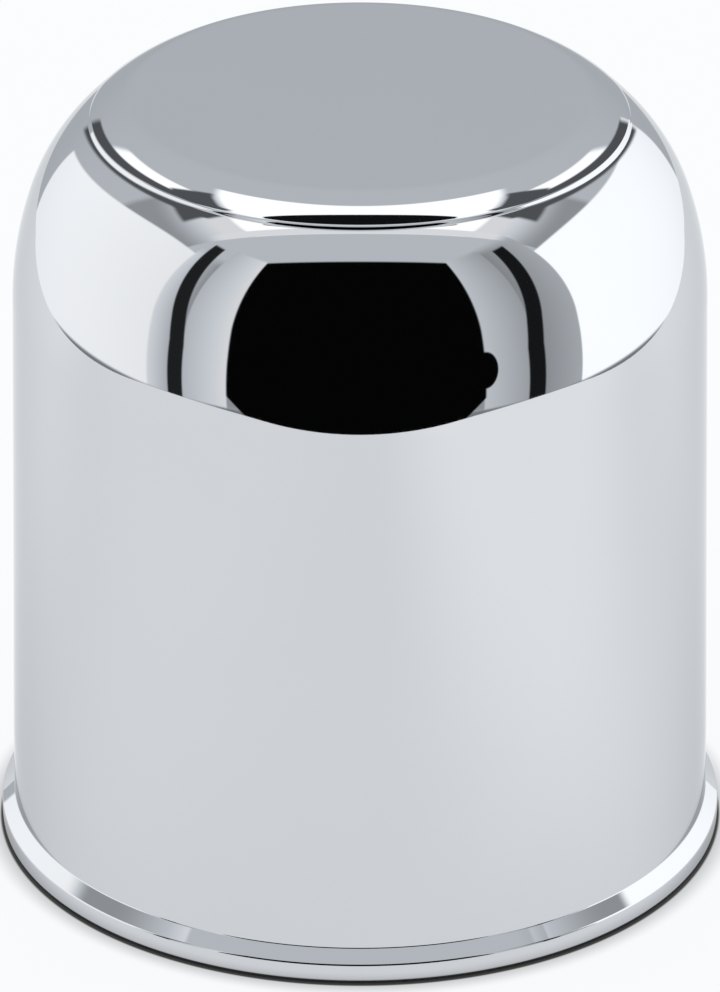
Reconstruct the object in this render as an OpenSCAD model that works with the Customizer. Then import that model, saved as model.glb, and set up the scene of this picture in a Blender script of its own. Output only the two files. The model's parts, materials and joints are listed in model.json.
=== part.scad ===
// Wheel center cap: a drawn and chromed cup, closed at the top and open at the base.
// It is pushed through a wheel's centre bore from behind, until its flange stops it.
// The cap is one sheet turned about Z. It stands on its flange, with its base at z = 0.

/* [Flange] */
// How far the flange stands out past the land, to stop the cap behind the bore
flange_w = 2; // [0.8:0.1:6]
// Height of the upright rim's outer face, from the base to its bend
rim_h = 2.9; // [1.6:0.1:8]
// Rounding of the sheet's cut edge, on its outer side
edge_round = 0.8; // [0.2:0.05:0.8]
// Lean of the flange's sloped shoulder: 0 is upright, 90 is level
shoulder_lean = 46; // [30:1:60]
// Outer radius of the bend between the rim and the sloped shoulder
rim_bend_r = 0.5; // [0.3:0.1:1.2]
// Radius of the corner where the sloped shoulder meets the wall
corner_r = 0.3; // [0.2:0.1:0.8]

/* [Wall] */
// Outer diameter of the straight land that fits the wheel's bore
land_d = 108; // [98:0.5:130]
// Length of the straight land above the flange
land_l = 8.8; // [4:0.1:20]
// Radius that eases the land into the drafted wall
ease_r = 200; // [50:10:400]
// Draft of the wall above the land, in degrees
draft = 0.9; // [0.3:0.1:3]
// Length of the drafted wall
wall_l = 72; // [20:1:120]
// Thickness of the sheet
sheet = 1.2; // [0.9:0.1:1.5]

/* [Shoulder] */
// Outer radius of the first, wide bend of the shoulder
hip_r = 50.5; // [42:0.5:60]
// Lean at which the wide bend ends
hip_lean = 19; // [10:1:26]
// Outer radius of the second, tighter bend, up to the crease
crown_r = 29.5; // [24:0.5:34]
// Lean of the shoulder where it meets the crease
crown_lean = 50.5; // [42:0.5:54]

/* [Raised top] */
// Radius of the hollow bend in the crease
crease_r = 1.2; // [0.6:0.1:2]
// Lean of the short riser above the crease
riser_lean = 32; // [10:1:40]
// Outer radius of the lip above the riser
lip_r = 1.6; // [1.3:0.1:3]
// Lean at which the lip runs into the bevel
lip_lean = 50.5; // [44:0.5:60]
// Outer radius of the crowned bevel round the flat
bevel_r = 19; // [12:0.5:24]
// Lean at which the bevel ends
bevel_lean = 66; // [62:1:75]
// Outer radius of the flat's edge
flat_edge_r = 4.5; // [2:0.5:8]

/* [Hidden] */
$fn = 240;

// How far a chord may lie from the arc that it stands for
chord_error = 0.004;

land_r = land_d / 2;
flange_r = land_r + flange_w;

// The sloped shoulder is as long as it must be to lead from the rim in to the land.
bends_inset = (rim_bend_r + corner_r) * (1 - cos(shoulder_lean));
shoulder_l = (flange_w - bends_inset) / sin(shoulder_lean);

// The sheet's outer face from the rim to the flat, as steps of one bend and one
// straight run: [lean after the bend, radius of the bend, length of the run].
STEPS = [
    [0, 0, rim_h - edge_round],
    [shoulder_lean, rim_bend_r, shoulder_l],
    [0, corner_r, land_l],
    [draft, ease_r, wall_l],
    [hip_lean, hip_r, 0],
    [crown_lean, crown_r, 0],
    [riser_lean, crease_r, 0],
    [lip_lean, lip_r, 0],
    [bevel_lean, bevel_r, 0],
    [90, flat_edge_r, 0],
];

// A face's lean is the angle of its outward normal above level. These unit vectors
// point out of such a face, and along it towards the top.
function out(lean) = [cos(lean), sin(lean)];
function along(lean) = [-sin(lean), cos(lean)];

// A bend swells outwards where the lean grows, and is hollow where it shrinks.
function swell(from_lean, to_lean) = to_lean < from_lean ? -1 : 1;
function bend_centre(p, from_lean, to_lean, r) = p - swell(from_lean, to_lean) * r * out(from_lean);
function bend_end(p, from_lean, to_lean, r) =
    p + swell(from_lean, to_lean) * r * (out(to_lean) - out(from_lean));

// Points round a centre, from one lean to the next, close enough for the chord error
function arc(centre, r, from_lean, to_lean) =
    let (
        widest = 2 * acos(max(1 - chord_error / abs(r), 0)),
        parts = ceil(abs(to_lean - from_lean) / widest)
    )
    [for (k = [0 : parts]) centre + r * out(from_lean + (to_lean - from_lean) * k / parts)];

// A bend's face at a depth under the outer face. A bend tighter than that depth
// has a sharp inner corner, where the faces on its two sides meet.
function bend_face(p, from_lean, to_lean, r, depth) =
    let (
        side = swell(from_lean, to_lean),
        centre = bend_centre(p, from_lean, to_lean, r),
        face_r = side * r - depth
    )
    side < 0 || face_r > 0
        ? arc(centre, face_r, from_lean, to_lean)
        : [centre + face_r / cos((to_lean - from_lean) / 2) * out((from_lean + to_lean) / 2)];

// The sheet's face at a depth under the outer face, from step i on up
function face(i, p, lean, depth) =
    i == len(STEPS)
        ? []
        : let (
            to_lean = STEPS[i][0],
            r = STEPS[i][1],
            run_start = bend_end(p, lean, to_lean, r),
            run_end = run_start + STEPS[i][2] * along(to_lean)
        )
        concat(
            r > 0 ? bend_face(p, lean, to_lean, r, depth) : [],
            face(i + 1, run_end, to_lean, depth)
        );

RIM_START = [flange_r, edge_round];
EDGE_CENTRE = RIM_START - [edge_round, 0];
OUTER_FACE = concat(
    arc(EDGE_CENTRE, edge_round, -90, 0),
    face(0, RIM_START, 0, 0)
);
INNER_FACE = concat(
    [[flange_r - sheet, 0]],
    face(0, RIM_START, 0, sheet)
);
top_z = OUTER_FACE[len(OUTER_FACE) - 1][1];

function reversed(points) = [for (i = [len(points) - 1 : -1 : 0]) points[i]];

// The cap's one piece: half of its section, turned about Z
module center_cap() {
    color("silver")
        rotate_extrude()
            polygon(concat(OUTER_FACE, [[0, top_z], [0, top_z - sheet]], reversed(INNER_FACE)));
}

center_cap();
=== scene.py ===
"""Looks of the wheel center cap: its polished chrome sheet, on a pale floor in a light tent.

The cap is one sheet turned about Z. Its section is worked out here from the same sizes as
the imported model, as rings with exact normals, so that the mirror finish has no facets.
"""

import json
import math

import bpy
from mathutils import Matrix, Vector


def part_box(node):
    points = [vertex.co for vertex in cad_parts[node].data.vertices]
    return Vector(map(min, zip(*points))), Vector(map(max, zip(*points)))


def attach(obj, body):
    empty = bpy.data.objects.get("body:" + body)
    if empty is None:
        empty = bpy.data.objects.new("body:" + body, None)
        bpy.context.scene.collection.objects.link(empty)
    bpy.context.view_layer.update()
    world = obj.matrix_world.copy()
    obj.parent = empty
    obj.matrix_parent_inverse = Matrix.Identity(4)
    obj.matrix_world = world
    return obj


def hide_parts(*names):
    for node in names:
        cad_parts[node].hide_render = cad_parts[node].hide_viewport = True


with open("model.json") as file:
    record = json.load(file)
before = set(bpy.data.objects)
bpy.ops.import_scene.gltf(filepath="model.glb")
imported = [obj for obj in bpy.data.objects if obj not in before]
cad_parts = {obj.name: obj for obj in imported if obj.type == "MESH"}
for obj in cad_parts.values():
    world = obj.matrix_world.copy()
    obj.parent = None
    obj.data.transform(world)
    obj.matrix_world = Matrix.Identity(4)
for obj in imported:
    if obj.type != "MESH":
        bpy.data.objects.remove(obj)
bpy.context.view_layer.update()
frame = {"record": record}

MM = 0.001

# Sizes of the sheet, in metres, and leans of its outer face, in degrees: a face's lean is
# the angle of its outward normal above level.
BORE_LAND = next(m for m in frame["record"]["mounts"] if m["name"] == "bore_land")
LAND_R = BORE_LAND["dims"]["r_mm"] * MM
LAND_L = BORE_LAND["dims"]["length_mm"] * MM
FLANGE_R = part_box("center_cap")[1][0]
SHEET = 1.2 * MM
EDGE_ROUND = 0.8 * MM
RIM_H = 2.9 * MM
SHOULDER_LEAN = 46
RIM_BEND_R = 0.5 * MM
CORNER_R = 0.3 * MM
EASE_R = 200 * MM
DRAFT = 0.9
WALL_L = 72 * MM
HIP_R = 50.5 * MM
HIP_LEAN = 19
CROWN_R = 29.5 * MM
CROWN_LEAN = 50.5
CREASE_R = 1.2 * MM
RISER_LEAN = 32
LIP_R = 1.6 * MM
LIP_LEAN = 50.5
BEVEL_R = 19 * MM
BEVEL_LEAN = 66
FLAT_EDGE_R = 4.5 * MM

# How finely the sheet is drawn
SEGMENTS = 240
ARC_STEP = 1.5
ARC_PARTS_MIN = 6
RUN_STEP = 6 * MM
FLAT_RINGS = 6

# Camera, as the photograph's proportions give it
CAMERA_PLACE = (0, -1.128, 0.6193)
CAMERA_PITCH = 26.61
CAMERA_LENS = 297.5

# Floor: a pale board with round corners
FLOOR_HALF_WIDTH = 0.345
FLOOR_FRONT = -0.29
FLOOR_BACK = 0.62
FLOOR_CORNER_R = 0.19
FLOOR_DROP = 0.0002
FLOOR_CORNER_PARTS = 24
FLOOR_WHITE = 0.985
FLOOR_GLOW_SHARE = 0.9
# Painted shadow on the floor: a dark ring under the cap's edge and a painted shade that fades out over a
# few millimetres, both worked out from the distance to the edge and not traced.
PAINTED_CONTACT_SHADOW_R = FLANGE_R - 0.4 * MM
PAINTED_CONTACT_SHADOW_W = 0.7 * MM
PAINTED_SHADOW_FADE_W = 2.2 * MM


def lean_out(lean):
    """Unit vector out of a face of that lean, as (radius, height)."""
    angle = math.radians(lean)
    return math.cos(angle), math.sin(angle)


def step_from(point, direction, length):
    """The point that far along a direction, both as (radius, height)."""
    return point[0] + direction[0] * length, point[1] + direction[1] * length


def sheet_steps():
    """Outer face from the rim to the flat: (lean after a bend, its radius, straight run)."""
    lean = math.radians(SHOULDER_LEAN)
    bends_inset = (RIM_BEND_R + CORNER_R) * (1 - math.cos(lean))
    shoulder_l = (FLANGE_R - LAND_R - bends_inset) / math.sin(lean)
    return [
        (0, 0, RIM_H - EDGE_ROUND),
        (SHOULDER_LEAN, RIM_BEND_R, shoulder_l),
        (0, CORNER_R, LAND_L),
        (DRAFT, EASE_R, WALL_L),
        (HIP_LEAN, HIP_R, 0),
        (CROWN_LEAN, CROWN_R, 0),
        (RISER_LEAN, CREASE_R, 0),
        (LIP_LEAN, LIP_R, 0),
        (BEVEL_LEAN, BEVEL_R, 0),
        (90, FLAT_EDGE_R, 0),
    ]


def arc_rings(centre, radius, from_lean, to_lean):
    """Rings round a centre, each (radius, height, lean below it, lean above it)."""
    parts = max(ARC_PARTS_MIN, math.ceil(abs(to_lean - from_lean) / ARC_STEP))
    rings = []
    for k in range(parts + 1):
        lean = from_lean + (to_lean - from_lean) * k / parts
        r, z = step_from(centre, lean_out(lean), radius)
        rings.append((r, z, lean, lean))
    return rings


def run_rings(start, lean, length):
    """Rings along a straight run, after its start."""
    parts = max(1, math.ceil(length / RUN_STEP))
    along = lean_out(lean + 90)
    rings = []
    for k in range(1, parts + 1):
        r, z = step_from(start, along, length * k / parts)
        rings.append((r, z, lean, lean))
    return rings


def face_rings(depth):
    """Rings of the sheet's face at a depth under its outer face, from rim to flat."""
    rings = []
    point = (FLANGE_R, EDGE_ROUND)
    lean = 0
    for to_lean, radius, run in sheet_steps():
        if radius:
            swell = -1 if to_lean < lean else 1
            centre = step_from(point, lean_out(lean), -swell * radius)
            face_r = swell * radius - depth
            if swell < 0 or face_r > 0:
                rings += arc_rings(centre, face_r, lean, to_lean)
            else:
                half_turn = math.radians((to_lean - lean) / 2)
                mitre = step_from(centre, lean_out((lean + to_lean) / 2), face_r / math.cos(half_turn))
                rings.append((*mitre, lean, to_lean))
            point = step_from(centre, lean_out(to_lean), swell * radius)
            lean = to_lean
        if run:
            start = step_from(point, lean_out(lean), -depth)
            if not rings:
                rings.append((*start, lean, lean))
            rings += run_rings(start, lean, run)
            point = step_from(point, lean_out(lean + 90), run)
    return rings


def flat_rings(rim_r, height):
    """Rings of the flat top, from its edge in to its centre."""
    rings = []
    for k in range(1, FLAT_RINGS + 1):
        rings.append((rim_r * (1 - k / FLAT_RINGS), height, 90, 90))
    return rings


def same_place(a, b):
    """Whether two rings lie on each other."""
    return math.hypot(a[0] - b[0], a[1] - b[1]) < 1e-7


def joined(rings):
    """The rings with each pair that lies on itself made one."""
    out = [rings[0]]
    for ring in rings[1:]:
        if same_place(out[-1], ring):
            out[-1] = (*out[-1][:3], ring[3])
        else:
            out.append(ring)
    return out


def outer_rings():
    """Outside of the sheet, from the inner edge of its base to the centre of the flat."""
    edge_centre = (FLANGE_R - EDGE_ROUND, EDGE_ROUND)
    base = [(FLANGE_R - SHEET, 0, -90, -90)]
    rings = base + arc_rings(edge_centre, EDGE_ROUND, -90, 0) + face_rings(0)
    return joined(rings + flat_rings(rings[-1][0], rings[-1][1]))


def inner_rings():
    """Inside of the sheet, from the inner edge of its base to the centre under the flat."""
    rings = [(FLANGE_R - SHEET, 0, 0, 0)] + face_rings(SHEET)
    return joined(rings + flat_rings(rings[-1][0], rings[-1][1]))


def turned(rings, side, vertices, faces, normals):
    """Turns rings about Z into faces. Side is 1 for an outside and -1 for an inside."""
    starts = []
    for r, z, _, _ in rings:
        starts.append(len(vertices))
        count = SEGMENTS if r > 1e-9 else 1
        for k in range(count):
            turn = 2 * math.pi * k / SEGMENTS
            vertices.append((r * math.cos(turn), r * math.sin(turn), z))

    def corner(ring, k):
        return starts[ring] + (k % SEGMENTS if rings[ring][0] > 1e-9 else 0)

    def normal(lean, k):
        out, up = lean_out(lean)
        turn = 2 * math.pi * k / SEGMENTS
        return side * out * math.cos(turn), side * out * math.sin(turn), side * up

    for i in range(len(rings) - 1):
        low_lean = rings[i][3]
        high_lean = rings[i + 1][2]
        at_axis = rings[i + 1][0] <= 1e-9
        for k in range(SEGMENTS):
            loop = [(i, k, low_lean), (i, k + 1, low_lean), (i + 1, k + 1, high_lean)]
            if not at_axis:
                loop.append((i + 1, k, high_lean))
            if side < 0:
                loop.reverse()
            faces.append([corner(ring, turn) for ring, turn, _ in loop])
            normals += [normal(lean, turn) for _, turn, lean in loop]


def make_cap():
    """The cap's sheet: outside, inside and cut edge in one closed mesh."""
    vertices = []
    faces = []
    normals = []
    turned(outer_rings(), 1, vertices, faces, normals)
    outside_faces = len(faces)
    turned(inner_rings(), -1, vertices, faces, normals)
    mesh = bpy.data.meshes.new("chromed_sheet")
    mesh.from_pydata(vertices, [], faces)
    mesh.polygons.foreach_set("use_smooth", [True] * len(faces))
    mesh.materials.append(polished_chrome())
    mesh.materials.append(thin_plated_steel())
    inside = [0 if i < outside_faces else 1 for i in range(len(faces))]
    mesh.polygons.foreach_set("material_index", inside)
    mesh.normals_split_custom_set(normals)
    mesh.update()
    cap = bpy.data.objects.new("chromed_cap", mesh)
    bpy.context.collection.objects.link(cap)
    return cap


class Wire:
    """A number that flows through a node tree. Arithmetic on it adds Math nodes."""

    def __init__(self, tree, socket):
        self.tree = tree
        self.socket = socket

    def math(self, operation, *others):
        node = self.tree.nodes.new("ShaderNodeMath")
        node.operation = operation
        for slot, value in zip(node.inputs, (self, *others)):
            feed(self.tree, slot, value)
        return Wire(self.tree, node.outputs[0])

    def __add__(self, other):
        return self.math("ADD", other)

    def __sub__(self, other):
        return self.math("SUBTRACT", other)

    def __mul__(self, other):
        return self.math("MULTIPLY", other)

    def __truediv__(self, other):
        return self.math("DIVIDE", other)

    def size(self):
        return self.math("ABSOLUTE")

    def flipped(self):
        """One minus this number."""
        return (self * -1) + 1

    def above(self, edge, soft):
        """A mask: 1 where this number is above the edge, with a soft border."""
        node = self.tree.nodes.new("ShaderNodeMapRange")
        node.interpolation_type = "SMOOTHSTEP"
        feed(self.tree, node.inputs["Value"], self - edge)
        node.inputs["From Min"].default_value = -soft
        node.inputs["From Max"].default_value = soft
        return Wire(self.tree, node.outputs[0])

    def below(self, edge, soft):
        """A mask: 1 where this number is below the edge, with a soft border."""
        return self.above(edge, soft).flipped()

    def between(self, low, high, soft):
        return self.above(low, soft) * self.below(high, soft)

    def covered(self, mask, other):
        """This number, with another in its place where the mask is 1."""
        node = self.tree.nodes.new("ShaderNodeMix")
        node.data_type = "FLOAT"
        feed(self.tree, node.inputs["Factor"], mask)
        feed(self.tree, node.inputs["A"], self)
        feed(self.tree, node.inputs["B"], other)
        return Wire(self.tree, node.outputs["Result"])


def feed(tree, slot, value):
    """Gives an input a number, or joins a wire to it."""
    if isinstance(value, Wire):
        tree.links.new(value.socket, slot)
    else:
        slot.default_value = value


def new_material(name):
    """A material with a Principled shader, and that shader."""
    material = bpy.data.materials.new(name)
    material.use_nodes = True
    return material, material.node_tree.nodes["Principled BSDF"]


def noise(tree, scale, detail, stretch=(1, 1, 1)):
    """Noise through the piece itself, as a wire from 0 to 1."""
    place = tree.nodes.new("ShaderNodeTexCoord")
    mapping = tree.nodes.new("ShaderNodeMapping")
    mapping.inputs["Scale"].default_value = stretch
    texture = tree.nodes.new("ShaderNodeTexNoise")
    texture.inputs["Scale"].default_value = scale
    texture.inputs["Detail"].default_value = detail
    tree.links.new(place.outputs["Object"], mapping.inputs["Vector"])
    tree.links.new(mapping.outputs["Vector"], texture.inputs["Vector"])
    return Wire(tree, texture.outputs[0])


def ranged(wire, low, high):
    """A 0 to 1 wire taken to another range."""
    return wire * (high - low) + low


def add_bump(tree, shader, height, distance, strength):
    """Bump on the shader from a height wire."""
    bump = tree.nodes.new("ShaderNodeBump")
    bump.inputs["Distance"].default_value = distance
    bump.inputs["Strength"].default_value = strength
    feed(tree, bump.inputs["Height"], height)
    tree.links.new(bump.outputs["Normal"], shader.inputs["Normal"])


def add_tint(tree, slot, mask, low, high):
    """A colour between two close colours, by a mask."""
    mix = tree.nodes.new("ShaderNodeMix")
    mix.data_type = "RGBA"
    feed(tree, mix.inputs["Factor"], mask)
    colours = [each for each in mix.inputs if each.type == "RGBA"]
    colours[0].default_value = (*low, 1)
    colours[1].default_value = (*high, 1)
    result = next(each for each in mix.outputs if each.type == "RGBA")
    tree.links.new(result, slot)


def polished_chrome():
    """Bright chrome plate: a mirror with a faint cloudiness and a trace of polishing."""
    material, shader = new_material("polished_chrome")
    tree = material.node_tree
    shader.inputs["Metallic"].default_value = 1
    shader.inputs["Specular Tint"].default_value = (0.73, 0.74, 0.75, 1)
    clouds = noise(tree, 38, 3)
    add_tint(tree, shader.inputs["Base Color"], clouds, (0.624, 0.638, 0.662), (0.64, 0.654, 0.678))
    feed(tree, shader.inputs["Roughness"], ranged(noise(tree, 60, 4), 0.012, 0.03))
    add_bump(tree, shader, noise(tree, 45, 1), 0.00002, 0.25)
    return material


def thin_plated_steel():
    """Inside of the cup: thin plating over drawn steel, duller, with faint drawing streaks."""
    material, shader = new_material("thin_plated_steel")
    tree = material.node_tree
    shader.inputs["Metallic"].default_value = 1
    clouds = noise(tree, 30, 4)
    add_tint(tree, shader.inputs["Base Color"], clouds, (0.5, 0.515, 0.54), (0.58, 0.59, 0.61))
    streaks = noise(tree, 400, 3, (1, 1, 0.03))
    feed(tree, shader.inputs["Roughness"], ranged(streaks, 0.22, 0.4))
    add_bump(tree, shader, streaks, 0.00005, 0.3)
    return material


def floor_outline():
    """Corners of the floor board, round its edge."""
    inner_x = FLOOR_HALF_WIDTH - FLOOR_CORNER_R
    corners = (
        (inner_x, FLOOR_BACK - FLOOR_CORNER_R, 0),
        (-inner_x, FLOOR_BACK - FLOOR_CORNER_R, 90),
        (-inner_x, FLOOR_FRONT + FLOOR_CORNER_R, 180),
        (inner_x, FLOOR_FRONT + FLOOR_CORNER_R, 270),
    )
    points = []
    for x, y, start in corners:
        for k in range(FLOOR_CORNER_PARTS + 1):
            angle = math.radians(start + 90 * k / FLOOR_CORNER_PARTS)
            points.append((x + FLOOR_CORNER_R * math.cos(angle), y + FLOOR_CORNER_R * math.sin(angle), 0))
    return points


def floor_glow_painted_shade_and_light(tree):
    """Brightness of the floor: a painted shadow, dark along the cap's edge, and soft bands of painted
    light where it is mirrored.
    """
    place = tree.nodes.new("ShaderNodeTexCoord")
    split = tree.nodes.new("ShaderNodeSeparateXYZ")
    tree.links.new(place.outputs["Object"], split.inputs[0])
    x, y, _ = (Wire(tree, slot) for slot in split.outputs)
    # Painted shadow: the floor's glow goes dark in a thin ring under the cap's edge and stays dimmer for
    # a short way beyond it.
    away = ((x * x + y * y).math("SQRT") - PAINTED_CONTACT_SHADOW_R).size()
    painted_contact_shadow = away.above(PAINTED_CONTACT_SHADOW_W, PAINTED_CONTACT_SHADOW_W * 0.3)
    painted_shadow_fade = away.above(PAINTED_SHADOW_FADE_W, PAINTED_SHADOW_FADE_W) * 0.4 + 0.6
    # Painted light: only for mirrored rays, the floor is made brighter to the front right, slightly
    # brighter to the front left, and brighter behind the cap. This stands in for lamps lighting the
    # floor.
    ahead = y.below(-0.01, 0.08)
    right = x.above(0.07, 0.06) * ahead * 0.16
    left = x.below(-0.07, 0.06) * ahead * 0.03
    behind = y.above(0.04, 0.06) * 0.14
    rays = tree.nodes.new("ShaderNodeLightPath")
    mirrored = Wire(tree, rays.outputs["Is Camera Ray"]).flipped()
    return ((right + left + behind) * mirrored + FLOOR_WHITE) * painted_contact_shadow * painted_shadow_fade


def floor_material():
    """Pale board that glows softly, as in a light tent, with a painted shadow along the cap's edge and a
    faint traced shadow of the cap from its diffuse share.
    """
    material, shader = new_material("pale_floor")
    tree = material.node_tree
    shader.inputs["Base Color"].default_value = (0.92, 0.92, 0.92, 1)
    shader.inputs["Roughness"].default_value = 1
    shader.inputs["Specular IOR Level"].default_value = 0
    glow = tree.nodes.new("ShaderNodeEmission")
    glow.inputs["Color"].default_value = (0.988, 0.997, 1.01, 1)
    feed(tree, glow.inputs["Strength"], floor_glow_painted_shade_and_light(tree))
    mix = tree.nodes.new("ShaderNodeMixShader")
    mix.inputs[0].default_value = FLOOR_GLOW_SHARE
    tree.links.new(shader.outputs[0], mix.inputs[1])
    tree.links.new(glow.outputs[0], mix.inputs[2])
    clear = tree.nodes.new("ShaderNodeBsdfTransparent")
    side = tree.nodes.new("ShaderNodeNewGeometry")
    one_sided = tree.nodes.new("ShaderNodeMixShader")
    tree.links.new(side.outputs["Backfacing"], one_sided.inputs[0])
    tree.links.new(mix.outputs[0], one_sided.inputs[1])
    tree.links.new(clear.outputs[0], one_sided.inputs[2])
    tree.links.new(one_sided.outputs[0], tree.nodes["Material Output"].inputs["Surface"])
    return material


def make_floor():
    """Floor board that the cap stands on."""
    points = floor_outline()
    mesh = bpy.data.meshes.new("floor")
    mesh.from_pydata(points, [], [list(range(len(points)))])
    mesh.materials.append(floor_material())
    floor = bpy.data.objects.new("floor", mesh)
    floor.location.z = -FLOOR_DROP
    bpy.context.collection.objects.link(floor)


# Light tent, as the polished sheet mirrors it. Directions are in degrees: azimuth 0 is
# towards the camera and grows to the right, and elevation is above the horizon. Places on
# the ceiling are for a ceiling at height 1. Brightness 1 is white.
BACK_WALL = 0.7
CEILING_WHITE = 1.6
CEILING_AHEAD = 0.72
CEILING_STRIP = 1.05
CEILING_BLACK = 0.008
FLAG_DARK = 0.12
GROUND = 0.28
CARD_BLACK = 0.002
HORIZON_EL = -16
COOL_GREY = (0.96, 1, 1.04)


class Tent:
    """Directions in the light tent, as wires that its parts are drawn with."""

    def __init__(self, tree):
        coordinates = tree.nodes.new("ShaderNodeTexCoord")
        split = tree.nodes.new("ShaderNodeSeparateXYZ")
        tree.links.new(coordinates.outputs["Generated"], split.inputs[0])
        right, away, up = (Wire(tree, slot) for slot in split.outputs)
        front = away * -1
        over = up.math("MAXIMUM", 0.01)
        self.azimuth = right.math("ARCTAN2", front) * (180 / math.pi)
        self.elevation = up.math("ARCSINE") * (180 / math.pi)
        self.around = self.azimuth.size()
        self.lift = self.elevation.math("MAXIMUM", 0)
        self.ceiling_side = (right / over).size()
        self.ceiling_front = front / over


def falling(around, start, rate, height):
    """Elevation of a panel's upper edge, which falls away behind the cap as a cosine."""
    return ((around - start) * math.radians(rate)).math("COSINE") * height


def lay_ceiling(light, tent):
    """White panel overhead, grey ceiling ahead, a bright strip and a black one."""
    bow = tent.ceiling_side * tent.ceiling_side
    white = tent.ceiling_front.above(bow * -1 - 0.11, 0.012) * tent.elevation.above(59, 1.5)
    light = light.covered(white, CEILING_WHITE)
    sides = tent.around.below(112, 2) * tent.elevation.between(HORIZON_EL, 59, 1)
    light = light.covered(sides, tent.elevation.above(47, 8) * 0.6 + 0.42)
    ahead = tent.ceiling_front.above(0.27, 0.008) * tent.elevation.above(0, 1) * tent.around.below(78, 3)
    light = light.covered(ahead, CEILING_AHEAD)
    strip = tent.ceiling_front.between(0.2, 0.27, 0.008) * tent.ceiling_side.below(0.8, 0.1)
    light = light.covered(strip, CEILING_STRIP)
    black = tent.ceiling_front.between(bow * 0.3 + 0.05, bow * -0.5 + 0.235, 0.005)
    return light.covered(black * tent.ceiling_side.below(0.43, 0.01), CEILING_BLACK)


def lay_side_panels(light, tent):
    """The two white panels at the cap's sides."""
    left_top = falling(tent.around, 78, 1.2, 39.5)
    left = tent.azimuth.between(-146, -71, 0.6) * tent.elevation.below(left_top, 0.6)
    light = light.covered(left, (tent.azimuth + 100) * -0.0028 + 1.3)
    right_top = falling(tent.around, 83, 1.05, 38)
    right = tent.azimuth.between(75.5, 153, 0.6) * tent.elevation.below(right_top, 0.6)
    return light.covered(right, 1.52)


def lay_flags(light, tent):
    """Dark flags over the side panels, with a white patch over each."""
    back = tent.around - 88
    centre = back * -0.45 - back * back * 0.005 + 58
    patch = tent.around.between(108, 140, 2) * tent.elevation.between(centre + 3, centre + 11, 1)
    light = light.covered(patch, CEILING_WHITE)
    band = tent.around.between(90, 152, 1.5) * tent.elevation.between(centre - 3.5, centre + 3.5, 0.8)
    light = light.covered(band, FLAG_DARK)
    tall = tent.around.between(92, 116, 1.5) * tent.elevation.between(46, 58, 1)
    return light.covered(tall, FLAG_DARK)


def lay_strips(light, tent):
    """Grey and pale strips beside the camera, with a black gap in each."""
    low = tent.elevation.below(47.5, 0.7)
    outer_left = tent.azimuth.between(-72, -58, 0.6) * tent.elevation.below(41, 3)
    light = light.covered(outer_left, (tent.azimuth + 72) * -0.045 + 0.98)
    inner_left = tent.azimuth.between(-59, -43, 0.4) * tent.elevation.below(49.5, 0.7)
    light = light.covered(inner_left, (tent.azimuth + 59) * 0.022 + 0.68)
    inner_right = tent.azimuth.between(40, 57, 0.4) * tent.elevation.below(51, 1.5)
    light = light.covered(inner_right, (tent.azimuth - 41) * -0.018 + 0.78)
    outer_right = tent.azimuth.between(57, 75.5, 0.4) * tent.elevation.below(50, 3)
    light = light.covered(outer_right, (tent.azimuth - 62) * 0.012 + 0.42)
    left_lean = tent.lift * -0.12
    left_gap = tent.azimuth.between(left_lean - 64, left_lean - 58.5, 0.4) * low
    light = light.covered(left_gap, 0.02)
    right_lean = tent.lift * 0.15
    right_gap = tent.azimuth.between(right_lean + 55.5, right_lean + 61.5, 0.4) * low
    return light.covered(right_gap, 0.012)


def lay_camera_card(light, tent):
    """Black card round the camera, with cut lower corners, and a grip at its right edge."""
    top = ((tent.azimuth * math.radians(1)).math("COSINE") * 1.58).math("ARCTANGENT") * (180 / math.pi)
    cut = (tent.elevation * -1 - 12).math("MAXIMUM", 0) * 1.1
    card = tent.azimuth.between(cut - 43, cut * -1 + 40.5, 0.4) * tent.elevation.below(top, 0.6)
    light = light.covered(card, CARD_BLACK)
    across = (tent.azimuth - 40.5) / 4.2
    along = (tent.elevation + 3) / 6
    grip = (across * across + along * along).below(1, 0.1)
    return light.covered(grip, CARD_BLACK)


def tent_light(tree):
    """Brightness of the light tent, by direction."""
    tent = Tent(tree)
    light = tent.azimuth * 0 + BACK_WALL
    light = lay_ceiling(light, tent)
    light = lay_side_panels(light, tent)
    light = lay_flags(light, tent)
    light = lay_strips(light, tent)
    light = light.covered(tent.elevation.below(HORIZON_EL, 0.5), GROUND)
    return lay_camera_card(light, tent)


def make_world():
    """World: white to the camera, and the light tent to the chrome."""
    world = bpy.data.worlds.new("light_tent")
    bpy.context.scene.world = world
    world.use_nodes = True
    tree = world.node_tree
    background = tree.nodes["Background"]
    rays = tree.nodes.new("ShaderNodeLightPath")
    glossy = Wire(tree, rays.outputs["Is Glossy Ray"])
    brightness = (glossy * 0 + 1).covered(glossy, tent_light(tree))
    feed(tree, background.inputs["Strength"], brightness)
    bright = brightness.above(0.95, 0.04)
    add_tint(tree, background.inputs["Color"], bright, COOL_GREY, (1, 1, 1))
    world.cycles.sampling_method = "NONE"


def make_camera():
    """Camera at the photograph's viewing angle."""
    data = bpy.data.cameras.new("camera")
    data.lens = CAMERA_LENS
    camera = bpy.data.objects.new("camera", data)
    camera.location = CAMERA_PLACE
    camera.rotation_euler = (math.radians(90 - CAMERA_PITCH), 0, 0)
    bpy.context.collection.objects.link(camera)
    bpy.context.scene.camera = camera


make_camera()
bpy.context.scene.view_settings.view_transform = "Standard"
cap = make_cap()
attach(cap, "root")
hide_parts("center_cap")
make_floor()
make_world()
